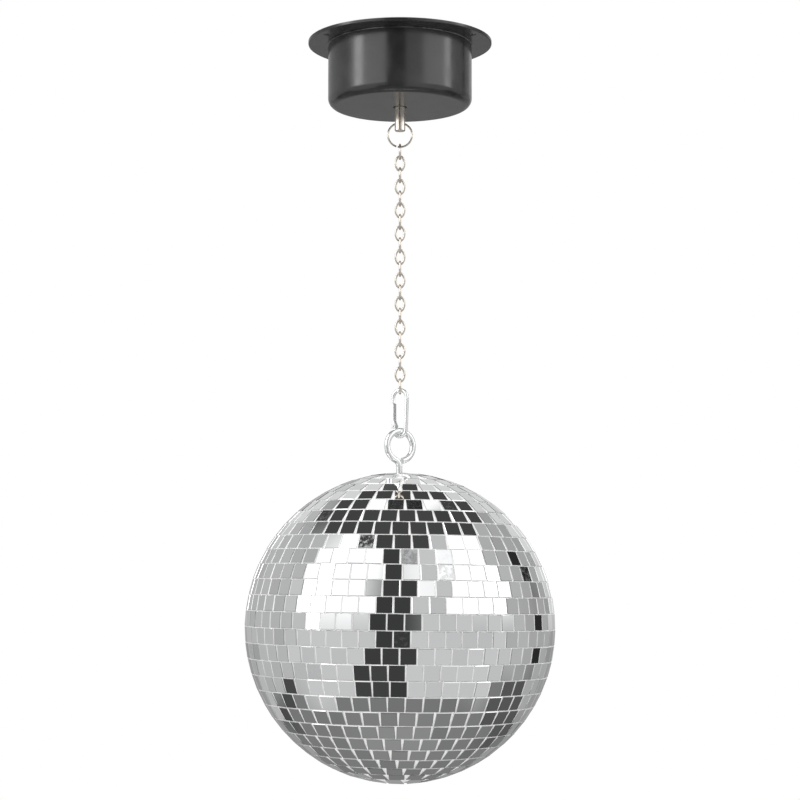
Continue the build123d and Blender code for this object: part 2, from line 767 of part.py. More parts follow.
# Gate: two cheeks on the tongue, one solid finger above, and a toe behind the nose.
gate_half = 1.9
gate_top = -nose_length - 0.3
gate_left = -hook_top_radius - hook_wire
gate_right = -hook_top_radius + hook_wire
channel_top = tongue_centre[1] + 4.2
with BuildPart() as hook_gate:
    with BuildSketch(hook_plane.offset(-gate_half)):
        with Locations(tongue_centre):
            Circle(gate_half)
        with BuildLine():
            Polyline(
                (tongue_centre[0] - gate_half, tongue_centre[1]),
                (gate_left - 0.5, tongue_centre[1] + 4),
                (gate_left - 0.5, gate_top - 1),
                (gate_left + 0.4, gate_top),
                (gate_right, gate_top),
                (gate_right, tongue_centre[1] + 4),
                (tongue_centre[0] + gate_half, tongue_centre[1]),
                close=True,
            )
        make_face()
    extrude(amount=2 * gate_half)
    with BuildSketch(hook_plane.offset(-0.85)):
        with Locations((tongue_centre[0] - 0.4, channel_top - 10)):
            Rectangle(8, 20)
    extrude(amount=1.7, mode=Mode.SUBTRACT)
    with BuildSketch(hook_plane.offset(-gate_half)):
        with Locations(tongue_centre):
            Circle(gate_pin_radius + axle_gap)
    extrude(amount=2 * gate_half, mode=Mode.SUBTRACT)
hook_gate.part.label = "hook_gate"
export_step(hook_gate.part, "parts/hook_gate.step")

# Rivet that the gate turns on, fast in the tongue.
with BuildPart() as gate_pin:
    with BuildSketch(hook_plane.offset(-gate_half - 0.1)):
        with Locations(tongue_centre):
            Circle(gate_pin_radius)
    extrude(amount=2 * gate_half + 0.2)
    for side in (-gate_half - 0.5, gate_half + 0.1):
        with BuildSketch(hook_plane.offset(side)):
            with Locations(tongue_centre):
                Circle(gate_pin_radius + 0.4)
        extrude(amount=0.4)
gate_pin.part.label = "gate_pin"
export_step(gate_pin.part, "parts/gate_pin.step")

# Small leaf spring in the gate's channel. Its foot rides on the tongue's round end.
with BuildPart() as gate_spring:
    with BuildSketch(hook_plane.offset(-0.7)):
        with Locations((tongue_centre[0] - 0.3, tongue_centre[1] + 2.75)):
            Rectangle(0.3, 2.4)
        with Locations((tongue_centre[0] - 0.3, tongue_centre[1] + 1.65)):
            Circle(0.3)
    extrude(amount=1.4)
gate_spring.part.label = "gate_spring"
export_step(gate_spring.part, "parts/gate_spring.step")

# ---------------------------------------------------------------- eyebolt and its nut

# Thick wire: straight shank, a turn to the left, then round the eye to a free end.
shank_centre = (
    shank_offset - shank_bend,
    -math.sqrt((eye_radius + shank_bend) ** 2 - (shank_offset - shank_bend) ** 2),
)
eye_start = math.degrees(math.atan2(shank_centre[1], shank_centre[0]))
eye_end = -80
with BuildPart() as eyebolt:
    with BuildLine(eye_plane) as eye_path:
        Line((shank_offset, shank_end_z - eye_z), (shank_offset, shank_centre[1]))
        CenterArc(shank_centre, shank_bend, 0, eye_start + 180)
        CenterArc((0, 0), eye_radius, eye_start, eye_end - eye_start - 360)
    with BuildSketch(Plane(origin=eye_path.line @ 0, z_dir=eye_path.line % 0)):
        Circle(eye_wire)
    sweep(path=eye_path.line)
    chamfer(eyebolt.edges().filter_by(GeomType.CIRCLE).sort_by(Axis.Z)[0], 0.4)
eyebolt.part.label = "eyebolt"
export_step(eyebolt.part, "parts/eyebolt.step")

shank_at = Plane(
    origin=(
        shank_offset * math.cos(math.radians(eye_turn)),
        shank_offset * math.sin(math.radians(eye_turn)),
        0,
    )
)

# Domed washer over the bare pole between the last tiles.
washer_radius = 8.6
washer_thick = 0.8
dome_radius = 45
dome_centre_z = core_top_z + 1.9 - dome_radius
with BuildPart() as eye_washer:
    with BuildSketch(Plane.XZ):
        with BuildLine():
            rim_angle = math.degrees(math.asin(washer_radius / dome_radius))
            top_arc = CenterArc((0, dome_centre_z), dome_radius, 90 - rim_angle, rim_angle)
            low_arc = CenterArc(
                (0, dome_centre_z), dome_radius - washer_thick, 90 - rim_angle, rim_angle
            )
            Line(top_arc @ 0, low_arc @ 0)
            Line(top_arc @ 1, low_arc @ 1)
        make_face()
    revolve(axis=Axis.Z)
    with BuildSketch(shank_at.offset(dome_centre_z)):
        Circle(eye_wire + fit_gap)
    extrude(amount=2 * dome_radius, mode=Mode.SUBTRACT)
eye_washer.part.label = "eye_washer"
export_step(eye_washer.part, "parts/eye_washer.step")

# Flanged hexagon nut inside the ball.
boss_bottom_z = core_top_z - 4
with BuildPart() as eye_nut:
    with BuildSketch(shank_at.offset(boss_bottom_z)):
        Circle(6)
    extrude(amount=-1)
    with BuildSketch(shank_at.offset(boss_bottom_z - 1)):
        RegularPolygon(3.5, 6, major_radius=False)
    extrude(amount=-3.4)
    with BuildSketch(shank_at.offset(boss_bottom_z)):
        Circle(eye_wire)
    extrude(amount=-6, mode=Mode.SUBTRACT)
eye_nut.part.label = "eye_nut"
export_step(eye_nut.part, "parts/eye_nut.step")

# ---------------------------------------------------------------- ball core

# Upper white half shell, with a thick boss at the pole for the eyebolt.
with BuildPart() as core_upper:
    with BuildSketch(Plane.XZ):
        with BuildLine():
            CenterArc((0, ball_z), core_radius, 0, 90)
            CenterArc((0, ball_z), core_inner, 0, 90)
            Line((core_inner, ball_z), (core_radius, ball_z))
            Line((0, ball_z + core_inner), (0, ball_z + core_radius))
        make_face()
    revolve(axis=Axis.Z)
    with BuildSketch(Plane.XY.offset(boss_bottom_z)):
        Circle(9)
    extrude(amount=3)
    with BuildSketch(shank_at.offset(boss_bottom_z)):
        Circle(eye_wire + fit_gap)
    extrude(amount=6, mode=Mode.SUBTRACT)
core_upper.part.label = "core_upper"
export_step(core_upper.part, "parts/core_upper.step")

# Lower white half shell, with a spigot that laps inside the upper one.
spigot_outer = math.sqrt(core_inner**2 - lap_height**2) - fit_gap
with BuildPart() as core_lower:
    with BuildSketch(Plane.XZ):
        with BuildLine():
            CenterArc((0, ball_z), core_radius, -90, 90)
            CenterArc((0, ball_z), core_inner, -90, 90)
            Line((core_inner, ball_z), (core_radius, ball_z))
            Line((0, ball_z - core_inner), (0, ball_z - core_radius))
        make_face()
    revolve(axis=Axis.Z)
    with BuildSketch(Plane.XY.offset(ball_z - lap_height)):
        Circle(core_inner + 0.3)
        Circle(spigot_outer - 1.4, mode=Mode.SUBTRACT)
    extrude(amount=lap_height)
    with BuildSketch(Plane.XY.offset(ball_z)):
        Circle(spigot_outer)
        Circle(spigot_outer - 1.4, mode=Mode.SUBTRACT)
    extrude(amount=lap_height)
core_lower.part.label = "core_lower"
export_step(core_lower.part, "parts/core_lower.step")

# ---------------------------------------------------------------- mirror tiles

roll = Rotation(0, tile_roll, 0)


def corner_drop(latitude):
    """How far a flat tile's lower corners hang below the middle of its lower edge."""
    return (tile_side / 2) ** 2 * math.tan(latitude) / (2 * tile_face)


# the rows open up towards the poles, so that corners clear the row below
latitudes = [(tile_side + tile_gap) / 2 / tile_face]
for row in range(1, rows_per_half):
    step = (tile_side + tile_gap) / tile_face
    step += corner_drop(latitudes[-1] + step) / tile_face
    latitudes.append(latitudes[-1] + step)


def tile_places(half, rows):
    """Planes of the tiles in some rows of one half: 1 is the upper half, -1 the lower."""
    places = []
    for row in rows:
        latitude = latitudes[row]
        back = tile_face - tile_thick
        edge = back * math.cos(latitude) - tile_side / 2 * math.sin(latitude)
        count = int(math.pi / math.atan((tile_side + tile_gap) / 2 / edge))
        shift = (row * 0.618 + (0 if half > 0 else 0.37)) % 1
        for tile in range(count):
            around = 2 * math.pi * (tile + shift) / count
            outward = Vector(
                math.cos(latitude) * math.cos(around),
                math.cos(latitude) * math.sin(around),
                half * math.sin(latitude),
            )
            along = Vector(-math.sin(around), math.cos(around), 0)
            place = Plane(origin=outward * back, x_dir=along, z_dir=outward)
            places.append(Location((0, 0, ball_z)) * roll * place.location)
    return places


bands = {
    "tiles_top_cap": (1, range(rows_per_half - cap_rows, rows_per_half)),
    "tiles_upper": (1, range(rows_per_half - cap_rows)),
    "tiles_lower": (-1, range(rows_per_half - cap_rows)),
    "tiles_bottom_cap": (-1, range(rows_per_half - cap_rows, rows_per_half)),
}
for name, (half, rows) in bands.items():
    with BuildPart() as tiles:
        with Locations(tile_places(half, rows)):
            Box(tile_side, tile_side, tile_thick, align=(Align.CENTER, Align.CENTER, Align.MIN))
    print(name, len(tiles.part.solids()))
    tiles.part.label = name
    export_step(tiles.part, f"parts/{name}.step")
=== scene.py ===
import math
import random

import bmesh
import bpy
from mathutils import Matrix, Vector, noise


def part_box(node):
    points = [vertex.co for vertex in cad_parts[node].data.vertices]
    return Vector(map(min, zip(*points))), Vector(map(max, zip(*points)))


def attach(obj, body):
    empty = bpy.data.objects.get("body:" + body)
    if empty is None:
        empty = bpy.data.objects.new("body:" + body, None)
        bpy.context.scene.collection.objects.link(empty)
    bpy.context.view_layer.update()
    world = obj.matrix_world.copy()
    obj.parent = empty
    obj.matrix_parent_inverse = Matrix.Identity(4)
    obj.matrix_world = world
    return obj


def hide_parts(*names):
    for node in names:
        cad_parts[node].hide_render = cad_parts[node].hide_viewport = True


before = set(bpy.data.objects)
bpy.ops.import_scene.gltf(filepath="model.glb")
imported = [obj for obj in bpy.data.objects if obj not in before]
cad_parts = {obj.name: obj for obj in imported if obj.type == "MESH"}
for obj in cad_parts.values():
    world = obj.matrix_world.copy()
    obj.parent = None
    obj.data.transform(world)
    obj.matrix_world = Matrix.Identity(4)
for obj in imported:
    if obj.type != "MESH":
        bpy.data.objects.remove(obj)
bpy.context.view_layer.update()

# ------------------------------------------------------------ camera
# A long lens a little above the middle of the ball, far enough back for the whole
# hanger, and tilted slightly up towards the motor.

ball_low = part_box("core_lower")[0]
ball_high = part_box("core_upper")[1]
ball_centre = Vector((0, 0, (ball_low.z + ball_high.z) / 2))

camera_back = 1.3182
camera_rise = 0.0276
camera_pitch = math.radians(2.945)
camera_lens = 91.635
camera_sensor = 36
camera_shift = 0.1
camera_reach = 50

lens = bpy.data.cameras.new("studio_camera")
lens.lens = camera_lens
lens.sensor_width = camera_sensor
lens.shift_y = camera_shift
lens.clip_end = camera_reach
camera = bpy.data.objects.new("studio_camera", lens)
camera.location = (0, -camera_back, ball_centre.z + camera_rise)
camera.rotation_euler = (math.pi / 2 + camera_pitch, 0, 0)
bpy.context.scene.collection.objects.link(camera)
bpy.context.scene.camera = camera

# ------------------------------------------------------------ studio
# The room that the mirrors show: two softboxes either side of the camera, a pale sweep
# behind, a dark ceiling, a dark gap where the camera stands and a grey floor. The camera
# itself sees plain white, and matt surfaces get an even fill.

# Each panel: turn from the camera (right is positive) and height, from and to, in
# degrees, then how bright it is. A later panel covers an earlier one.
dark_ceiling = 0.075
studio_panels = (
    ((-200, 200), (-26, 50), 0.60),  # walls all round
    ((-200, -150), (15, 50), 0.86),  # pale sweep behind the ball
    ((145, 200), (0, 50), 0.86),
    ((-200, -150), (-26, -2), 0.4),  # its shaded foot
    ((145, 200), (-26, -2), 0.4),
    ((104, 145), (-24, 42), 0.5),
    ((-92, 86), (-47, 62), 0.74),  # pale room around the camera
    ((-150, -98), (-34, -24), 0.09),  # dark skirtings
    ((92, 150), (-45, -24), 0.12),
    ((119, 126), (-30, 36), 0.03),  # a black stand
    ((-84, -21), (5, 60), 1.7),  # softboxes
    ((38, 86), (5, 57), 1.7),
    ((-77, -62), (4, 60), 5.0),  # their brightest strips
    ((76, 88), (4, 57), 3.5),
    ((9, 22), (26, 44), 1.3),  # a small lamp over the camera
    ((-21, 9), (-50, 90), 0.06),  # the dark gap where the camera stands
    ((-42, -8), (-45, -28), 0.07),
    ((-200, 200), (61, 90), dark_ceiling),
    ((-200, -88), (50, 90), dark_ceiling),
    ((88, 200), (50, 90), dark_ceiling),
    ((-152, -120), (43, 90), dark_ceiling),
    ((120, 152), (43, 90), dark_ceiling),
    ((-160, -140), (68, 76), 1.5),  # lamps in the ceiling
    ((138, 158), (67, 75), 1.5),
)
panel_blur = 1.5
zenith = 90
past_zenith = 95
floor_light = 0.25
foot_light = 0.34
foot_below = -85
floor_above = -55
fill_light = 1.2
backdrop_light = 1.0
white = (1, 1, 1, 1)

world = bpy.data.worlds.new("studio")
bpy.context.scene.world = world
bpy.context.scene.view_settings.view_transform = "Standard"
world.use_nodes = True
tree = world.node_tree
tree.nodes.clear()
rays = tree.nodes.new("ShaderNodeLightPath")


def ramp(tree, source, low, high, start, end):
    """A smooth step of a value, from start at low to end at high."""
    node = tree.nodes.new("ShaderNodeMapRange")
    node.interpolation_type = "SMOOTHSTEP"
    node.inputs["From Min"].default_value = low
    node.inputs["From Max"].default_value = high
    node.inputs["To Min"].default_value = start
    node.inputs["To Max"].default_value = end
    tree.links.new(source, node.inputs["Value"])
    return node.outputs["Result"]


def maths(tree, operation, first, second=0.0):
    """A Math node of two values, either of which may be a socket or a number."""
    node = tree.nodes.new("ShaderNodeMath")
    node.operation = operation
    for place, value in enumerate((first, second)):
        if isinstance(value, (int, float)):
            node.inputs[place].default_value = value
        else:
            tree.links.new(value, node.inputs[place])
    return node.outputs["Value"]


def within(value, low, high):
    """1 between two limits and 0 outside, with a soft edge."""
    start = ramp(tree, value, low - panel_blur, low + panel_blur, 0, 1)
    end = ramp(tree, value, high - panel_blur, high + panel_blur, 1, 0)
    return maths(tree, "MULTIPLY", start, end)


def background(strength):
    """A plain white light of one strength all round."""
    node = tree.nodes.new("ShaderNodeBackground")
    node.inputs["Color"].default_value = white
    node.inputs["Strength"].default_value = strength
    return node.outputs["Background"]


def swap(ray, otherwise, instead):
    """Another light for one kind of ray."""
    node = tree.nodes.new("ShaderNodeMixShader")
    tree.links.new(rays.outputs[ray], node.inputs["Fac"])
    tree.links.new(otherwise, node.inputs[1])
    tree.links.new(instead, node.inputs[2])
    return node.outputs["Shader"]


direction = tree.nodes.new("ShaderNodeTexCoord")
split = tree.nodes.new("ShaderNodeSeparateXYZ")
tree.links.new(direction.outputs["Generated"], split.inputs["Vector"])
toward_camera = maths(tree, "MULTIPLY", split.outputs["Y"], -1)
turn = maths(tree, "ARCTAN2", split.outputs["X"], toward_camera)
turn = maths(tree, "DEGREES", turn)
height = maths(tree, "DEGREES", maths(tree, "ARCSINE", split.outputs["Z"]))

level = ramp(tree, height, foot_below, floor_above, foot_light, floor_light)
for turns, (low, high), brightness in studio_panels:
    panel = tree.nodes.new("ShaderNodeMix")
    top = high if high < zenith else past_zenith
    share = maths(tree, "MULTIPLY", within(turn, *turns), within(height, low, top))
    tree.links.new(share, panel.inputs["Factor"])
    tree.links.new(level, panel.inputs["A"])
    panel.inputs["B"].default_value = brightness
    level = panel.outputs["Result"]

studio = tree.nodes.new("ShaderNodeBackground")
tree.links.new(level, studio.inputs["Strength"])
lit = swap("Is Diffuse Ray", studio.outputs["Background"], background(fill_light))
seen = swap("Is Camera Ray", lit, background(backdrop_light))
surface = tree.nodes.new("ShaderNodeOutputWorld")
tree.links.new(seen, surface.inputs["Surface"])

# ------------------------------------------------------------ floor
# A wide pale disc of matt board, well below the ball. The mirrors don't show it, since
# the studio has a floor of its own.

floor_drop = 0.75
floor_radius = 6
floor_sides = 96

mottle_detail = 4
fine_detail = 2
pattern_low = 0.3
pattern_high = 0.7
fine_ratio = 14


def grain_group():
    """Mottling and fine height from the object's own coordinates."""
    group = bpy.data.node_groups.new("grain", "ShaderNodeTree")
    place = group.nodes.new("ShaderNodeTexCoord")
    given = group.nodes.new("NodeGroupInput")
    result = group.nodes.new("NodeGroupOutput")
    for name, detail in (("Mottle", mottle_detail), ("Fine", fine_detail)):
        group.interface.new_socket(f"{name} Scale", in_out="INPUT", socket_type="NodeSocketFloat")
        group.interface.new_socket(name, in_out="OUTPUT", socket_type="NodeSocketFloat")
        pattern = group.nodes.new("ShaderNodeTexNoise")
        pattern.inputs["Detail"].default_value = detail
        group.links.new(place.outputs["Object"], pattern.inputs["Vector"])
        group.links.new(given.outputs[f"{name} Scale"], pattern.inputs["Scale"])
        spread = ramp(group, pattern.outputs["Fac"], pattern_low, pattern_high, 0, 1)
        group.links.new(spread, result.inputs[name])
    return group


grain = grain_group()


def grain_node(tree, mottle, fine):
    """The grain in a material, with its two scales."""
    node = tree.nodes.new("ShaderNodeGroup")
    node.node_tree = grain
    node.inputs["Mottle Scale"].default_value = mottle
    node.inputs["Fine Scale"].default_value = fine
    return node


def finish(name, light, dark, metallic, smooth, rough, mottle, relief):
    """A material whose colour and roughness wander between two values, with fine bump."""
    material = bpy.data.materials.new(name)
    material.use_nodes = True
    tree = material.node_tree
    shader = tree.nodes["Principled BSDF"]
    shader.inputs["Metallic"].default_value = metallic
    pattern = grain_node(tree, mottle, mottle * fine_ratio)
    colour = tree.nodes.new("ShaderNodeMix")
    colour.data_type = "RGBA"
    colour.inputs["A"].default_value = (*light, 1)
    colour.inputs["B"].default_value = (*dark, 1)
    tree.links.new(pattern.outputs["Mottle"], colour.inputs["Factor"])
    tree.links.new(colour.outputs["Result"], shader.inputs["Base Color"])
    spread = ramp(tree, pattern.outputs["Mottle"], 0, 1, smooth, rough)
    tree.links.new(spread, shader.inputs["Roughness"])
    bump = tree.nodes.new("ShaderNodeBump")
    bump.inputs["Strength"].default_value = 1.0
    bump.inputs["Distance"].default_value = relief
    tree.links.new(pattern.outputs["Fine"], bump.inputs["Height"])
    tree.links.new(bump.outputs["Normal"], shader.inputs["Normal"])
    return material


def piece_of(bm, name, material, smooth=True):
    """A finished bmesh as a new object of one material."""
    for face in bm.faces:
        face.smooth = smooth
    mesh = bpy.data.meshes.new(name)
    bm.to_mesh(mesh)
    bm.free()
    mesh.materials.append(material)
    piece = bpy.data.objects.new(name, mesh)
    bpy.context.scene.collection.objects.link(piece)
    return piece


pale_floor = finish(
    "pale_floor",
    light=(0.78, 0.78, 0.78),
    dark=(0.775, 0.775, 0.775),
    metallic=0.0,
    smooth=0.7,
    rough=0.72,
    mottle=40,
    relief=1e-5,
)
bm = bmesh.new()
bmesh.ops.create_circle(bm, cap_ends=True, radius=floor_radius, segments=floor_sides)
bmesh.ops.translate(bm, verts=bm.verts, vec=(0, 0, ball_low.z - floor_drop))
floor = piece_of(bm, "floor", pale_floor, smooth=False)
floor.visible_glossy = False

# ------------------------------------------------------------ motor housing
# A pressed steel plate and a drawn steel cover, both in black semi-gloss paint with a
# very fine orange peel. Two zinc-plated screws lock the cover to the plate's collar, and
# a soft black rubber grommet sits in its back.

paint_gloss = 0.85


def wear(material, *nodes):
    """Gives CAD nodes a material."""
    for node in nodes:
        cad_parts[node].material_slots[0].material = material


black_paint = finish(
    "black_paint",
    light=(0.016, 0.016, 0.017),
    dark=(0.024, 0.024, 0.025),
    metallic=0.0,
    smooth=0.19,
    rough=0.25,
    mottle=90,
    relief=4e-6,
)
black_paint.node_tree.nodes["Principled BSDF"].inputs["Specular IOR Level"].default_value = paint_gloss
zinc = finish(
    "zinc",
    light=(0.6, 0.61, 0.63),
    dark=(0.5, 0.51, 0.52),
    metallic=1.0,
    smooth=0.28,
    rough=0.4,
    mottle=700,
    relief=4e-6,
)
rubber = finish(
    "rubber",
    light=(0.018, 0.018, 0.018),
    dark=(0.03, 0.03, 0.03),
    metallic=0.0,
    smooth=0.6,
    rough=0.8,
    mottle=500,
    relief=1e-5,
)
wear(black_paint, "base_plate", "cover_cup")
wear(zinc, "cover_screws")
wear(rubber, "cable_grommet")

# ------------------------------------------------------------ cover's rolled edge
# The cover's open edge is rolled into a fine bead. Its colour is a lighter, partly metallic grey
# than the black paint, a painted highlight that stands in for the light the rim catches.

bead_wire = 0.0004
bead_sides = 10
bead_steps = 144
cover_low, cover_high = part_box("cover_cup")
cover_radius = (cover_high.x - cover_low.x) / 2

# Painted highlight: this light grey metal stands in for the bright line of light along the rim.
rim_highlight_paint = finish(
    "rim_highlight_paint",
    light=(0.3, 0.3, 0.3),
    dark=(0.06, 0.06, 0.06),
    metallic=0.7,
    smooth=0.22,
    rough=0.35,
    mottle=180,
    relief=4e-6,
)
bm = bmesh.new()
bead_at = Matrix.Translation((cover_radius - bead_wire / 2, 0, cover_high.z - bead_wire))
bead_at = bead_at @ Matrix.Rotation(math.pi / 2, 4, "X")
bmesh.ops.create_circle(bm, radius=bead_wire, segments=bead_sides, matrix=bead_at)
bmesh.ops.spin(
    bm,
    geom=bm.verts[:] + bm.edges[:],
    cent=(0, 0, 0),
    axis=(0, 0, 1),
    angle=2 * math.pi,
    steps=bead_steps,
    use_merge=True,
)
bmesh.ops.recalc_face_normals(bm, faces=bm.faces)
bead = piece_of(bm, "cover_bead", rim_highlight_paint)
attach(bead, "motor_unit")

# ------------------------------------------------------------ motor's frame
# Two steel plates stacked on posts with long screws, and the drawn can of the stator,
# all zinc-plated. The stator's pole ring is folded from the same strip as the plates.

plate_steel = finish(
    "plate_steel",
    light=(0.62, 0.62, 0.6),
    dark=(0.5, 0.5, 0.5),
    metallic=1.0,
    smooth=0.3,
    rough=0.45,
    mottle=350,
    relief=5e-6,
)
wear(plate_steel, "upper_gear_plate", "lower_gear_plate", "pole_ring")
wear(zinc, "frame_screws", "standoffs", "gear_spacers", "motor_can")

# ------------------------------------------------------------ coil and terminals
# Enamelled copper wound on a nylon bobbin. Two leads in blue sleeving run to a nylon
# terminal block with brass screws.

nylon = finish(
    "nylon",
    light=(0.86, 0.84, 0.76),
    dark=(0.8, 0.78, 0.7),
    metallic=0.0,
    smooth=0.4,
    rough=0.55,
    mottle=300,
    relief=8e-6,
)
brass = finish(
    "brass",
    light=(0.72, 0.53, 0.22),
    dark=(0.6, 0.43, 0.17),
    metallic=1.0,
    smooth=0.25,
    rough=0.4,
    mottle=500,
    relief=4e-6,
)
copper = finish(
    "copper",
    light=(0.5, 0.17, 0.06),
    dark=(0.36, 0.11, 0.04),
    metallic=0.6,
    smooth=0.25,
    rough=0.4,
    mottle=900,
    relief=3e-5,
)
sleeve = finish(
    "sleeve",
    light=(0.03, 0.1, 0.4),
    dark=(0.025, 0.08, 0.33),
    metallic=0.0,
    smooth=0.35,
    rough=0.45,
    mottle=400,
    relief=6e-6,
)
wear(nylon, "terminal_block", "coil_bobbin")
wear(brass, "terminal_screws")
wear(copper, "coil_winding")
wear(sleeve, "lead_wires")

# ------------------------------------------------------------ rotor and gears
# A ferrite magnet with an acetal pinion, then nylon and acetal gears on ground steel
# pins. The last gear is clipped to the shaft, which turns in a flanged bronze bush.

acetal = finish(
    "acetal",
    light=(0.82, 0.82, 0.8),
    dark=(0.76, 0.76, 0.74),
    metallic=0.0,
    smooth=0.35,
    rough=0.5,
    mottle=300,
    relief=8e-6,
)
ferrite = finish(
    "ferrite",
    light=(0.05, 0.05, 0.055),
    dark=(0.08, 0.08, 0.085),
    metallic=0.2,
    smooth=0.5,
    rough=0.7,
    mottle=600,
    relief=1e-5,
)
bronze = finish(
    "bronze",
    light=(0.55, 0.36, 0.17),
    dark=(0.42, 0.27, 0.12),
    metallic=1.0,
    smooth=0.35,
    rough=0.5,
    mottle=500,
    relief=6e-6,
)
ground_steel = finish(
    "ground_steel",
    light=(0.7, 0.7, 0.71),
    dark=(0.6, 0.6, 0.61),
    metallic=1.0,
    smooth=0.18,
    rough=0.28,
    mottle=900,
    relief=2e-6,
)
wear(ferrite, "rotor_magnet")
wear(acetal, "rotor_pinion", "output_gear")
wear(nylon, "first_gear", "second_gear")
wear(bronze, "output_bush")
wear(ground_steel, "gear_axles", "shaft_clip")

# ------------------------------------------------------------ shaft and ring
# Nickel-plated steel, bright but slightly warm, with faint brushing. The ring is bent
# from wire and passes through the shaft's cross hole.

nickel = finish(
    "nickel",
    light=(0.92, 0.85, 0.76),
    dark=(0.8, 0.73, 0.64),
    metallic=0.9,
    smooth=0.08,
    rough=0.18,
    mottle=500,
    relief=3e-6,
)
wear(nickel, "output_shaft", "split_ring")

# ------------------------------------------------------------ chain
# Oval links bent from nickel-plated wire. Each has a slight bead where its leg is
# butt-welded, and stands a quarter turn from the one above.

link_wire = 0.00075
wire_sides = 14
bend_steps = 12
leg_cuts = 5
weld_swell = 1.12
oval_pull = 0.00045
touching = 1e-6


def chain_link(node):
    """One link: two bends spun from a round wire, bridged by legs, then made oval."""
    low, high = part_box(node)
    centre = (low + high) / 2
    size = high - low
    bend = max(size.x, size.y) / 2 - link_wire
    leg = size.z / 2 - link_wire - bend
    bm = bmesh.new()
    at_bend = Matrix.Translation((bend, 0, leg))
    bmesh.ops.create_circle(bm, radius=link_wire, segments=wire_sides, matrix=at_bend)
    bmesh.ops.spin(
        bm,
        geom=bm.verts[:] + bm.edges[:],
        cent=(0, 0, leg),
        axis=(0, -1, 0),
        angle=math.pi,
        steps=bend_steps,
        use_merge=False,
    )
    upper_half = bm.verts[:] + bm.edges[:] + bm.faces[:]
    copied = bmesh.ops.duplicate(bm, geom=upper_half)["geom"]
    lower_verts = [part for part in copied if isinstance(part, bmesh.types.BMVert)]
    bmesh.ops.scale(bm, vec=(1, 1, -1), verts=lower_verts)
    rims = [edge for edge in bm.edges if edge.is_boundary]
    for way in (1, -1):
        rim = [edge for edge in rims if edge.verts[0].co.x * way > 0]
        bmesh.ops.bridge_loops(bm, edges=rim)
    legs = [e for e in bm.edges if abs(e.verts[0].co.z + e.verts[1].co.z) < touching]
    legs = [e for e in legs if abs(e.verts[0].co.z) > leg / 2]
    bmesh.ops.subdivide_edges(bm, edges=legs, cuts=leg_cuts, use_grid_fill=True)
    for vert in bm.verts:
        if vert.co.x > 0 and abs(vert.co.z) < leg / 4:
            vert.co += Vector((vert.co.x - bend, vert.co.y, 0)) * (weld_swell - 1)
    bmesh.ops.remove_doubles(bm, verts=bm.verts, dist=touching)
    for vert in bm.verts:
        bend_angle = math.atan2(max(abs(vert.co.z) - leg, 0), abs(vert.co.x))
        along = (min(abs(vert.co.z), leg) + bend * math.sin(bend_angle)) / (leg + bend)
        pull = 4 * oval_pull * along**2 * (1 - along**2)
        vert.co.x -= math.copysign(pull, vert.co.x)
    bmesh.ops.recalc_face_normals(bm, faces=bm.faces)
    if size.y > size.x:
        bmesh.ops.rotate(bm, verts=bm.verts, matrix=Matrix.Rotation(math.pi / 2, 3, "Z"))
    bmesh.ops.translate(bm, verts=bm.verts, vec=centre)
    return piece_of(bm, f"{node}_wire", nickel)


link_count = sum(name.startswith("chain_link_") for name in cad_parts)
for number in range(1, link_count + 1):
    node = f"chain_link_{number:02d}"
    piece = chain_link(node)
    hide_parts(node)
    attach(piece, f"link_{number:02d}")

# ------------------------------------------------------------ snap hook and eyebolt
# A small cast hook with a wire gate on a steel pin, closed by a leaf spring, and an eye
# bent from thick wire. Both are bright chrome. The eye's shank passes through a domed
# washer and is held inside the ball by a nut, both zinc-plated.

chrome = finish(
    "chrome",
    light=(0.97, 0.975, 0.98),
    dark=(0.92, 0.925, 0.93),
    metallic=0.7,
    smooth=0.04,
    rough=0.1,
    mottle=400,
    relief=2e-6,
)
wear(chrome, "hook_body", "hook_gate", "eyebolt")
wear(ground_steel, "gate_pin", "gate_spring")
wear(zinc, "eye_washer", "eye_nut")

# ------------------------------------------------------------ ball core
# Two half shells moulded in white plastic, lapped and glued at the ball's equator.
# Their surface is plain and slightly rough, so that the adhesive holds.

white_plastic = finish(
    "white_plastic",
    light=(0.86, 0.86, 0.85),
    dark=(0.8, 0.8, 0.79),
    metallic=0.0,
    smooth=0.45,
    rough=0.6,
    mottle=60,
    relief=2e-5,
)
wear(white_plastic, "core_upper", "core_lower")

# ------------------------------------------------------------ adhesive
# White adhesive fills the joints between the tiles to just under their faces, uneven
# from the spreader, so that every joint reads as a fine white line.

tile_face = 0.0998
adhesive_depth = 0.0004
adhesive_lumps = 0.00008
lump_scale = 160
film_turns = 180
film_rings = 90

adhesive = finish(
    "adhesive",
    light=(0.93, 0.93, 0.92),
    dark=(0.86, 0.86, 0.85),
    metallic=0.0,
    smooth=0.4,
    rough=0.6,
    mottle=120,
    relief=4e-5,
)
bm = bmesh.new()
bmesh.ops.create_uvsphere(
    bm,
    u_segments=film_turns,
    v_segments=film_rings,
    radius=tile_face - adhesive_depth,
)
for vert in bm.verts:
    vert.co *= 1 + adhesive_lumps / tile_face * noise.noise(vert.co * lump_scale)
bmesh.ops.translate(bm, verts=bm.verts, vec=ball_centre)
film = piece_of(bm, "adhesive_film", adhesive)
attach(film, "ball")

# ------------------------------------------------------------ mirror tiles
# Square glass tiles, silvered behind, stuck on by hand in rows: each sits a little
# out of true, a few are tarnished or scuffed, and their cut edges are slightly eased.

tile_side = 0.010
tile_thick = 0.0015
tile_gap = 0.00029
tile_cut = 0.0098
edge_ease = 0.00018
rows_per_half = 14
cap_rows = 6
tile_roll = math.radians(0.7)
tilt_spread = math.radians(0.75)
row_stagger = 0.618
lower_stagger = 0.37

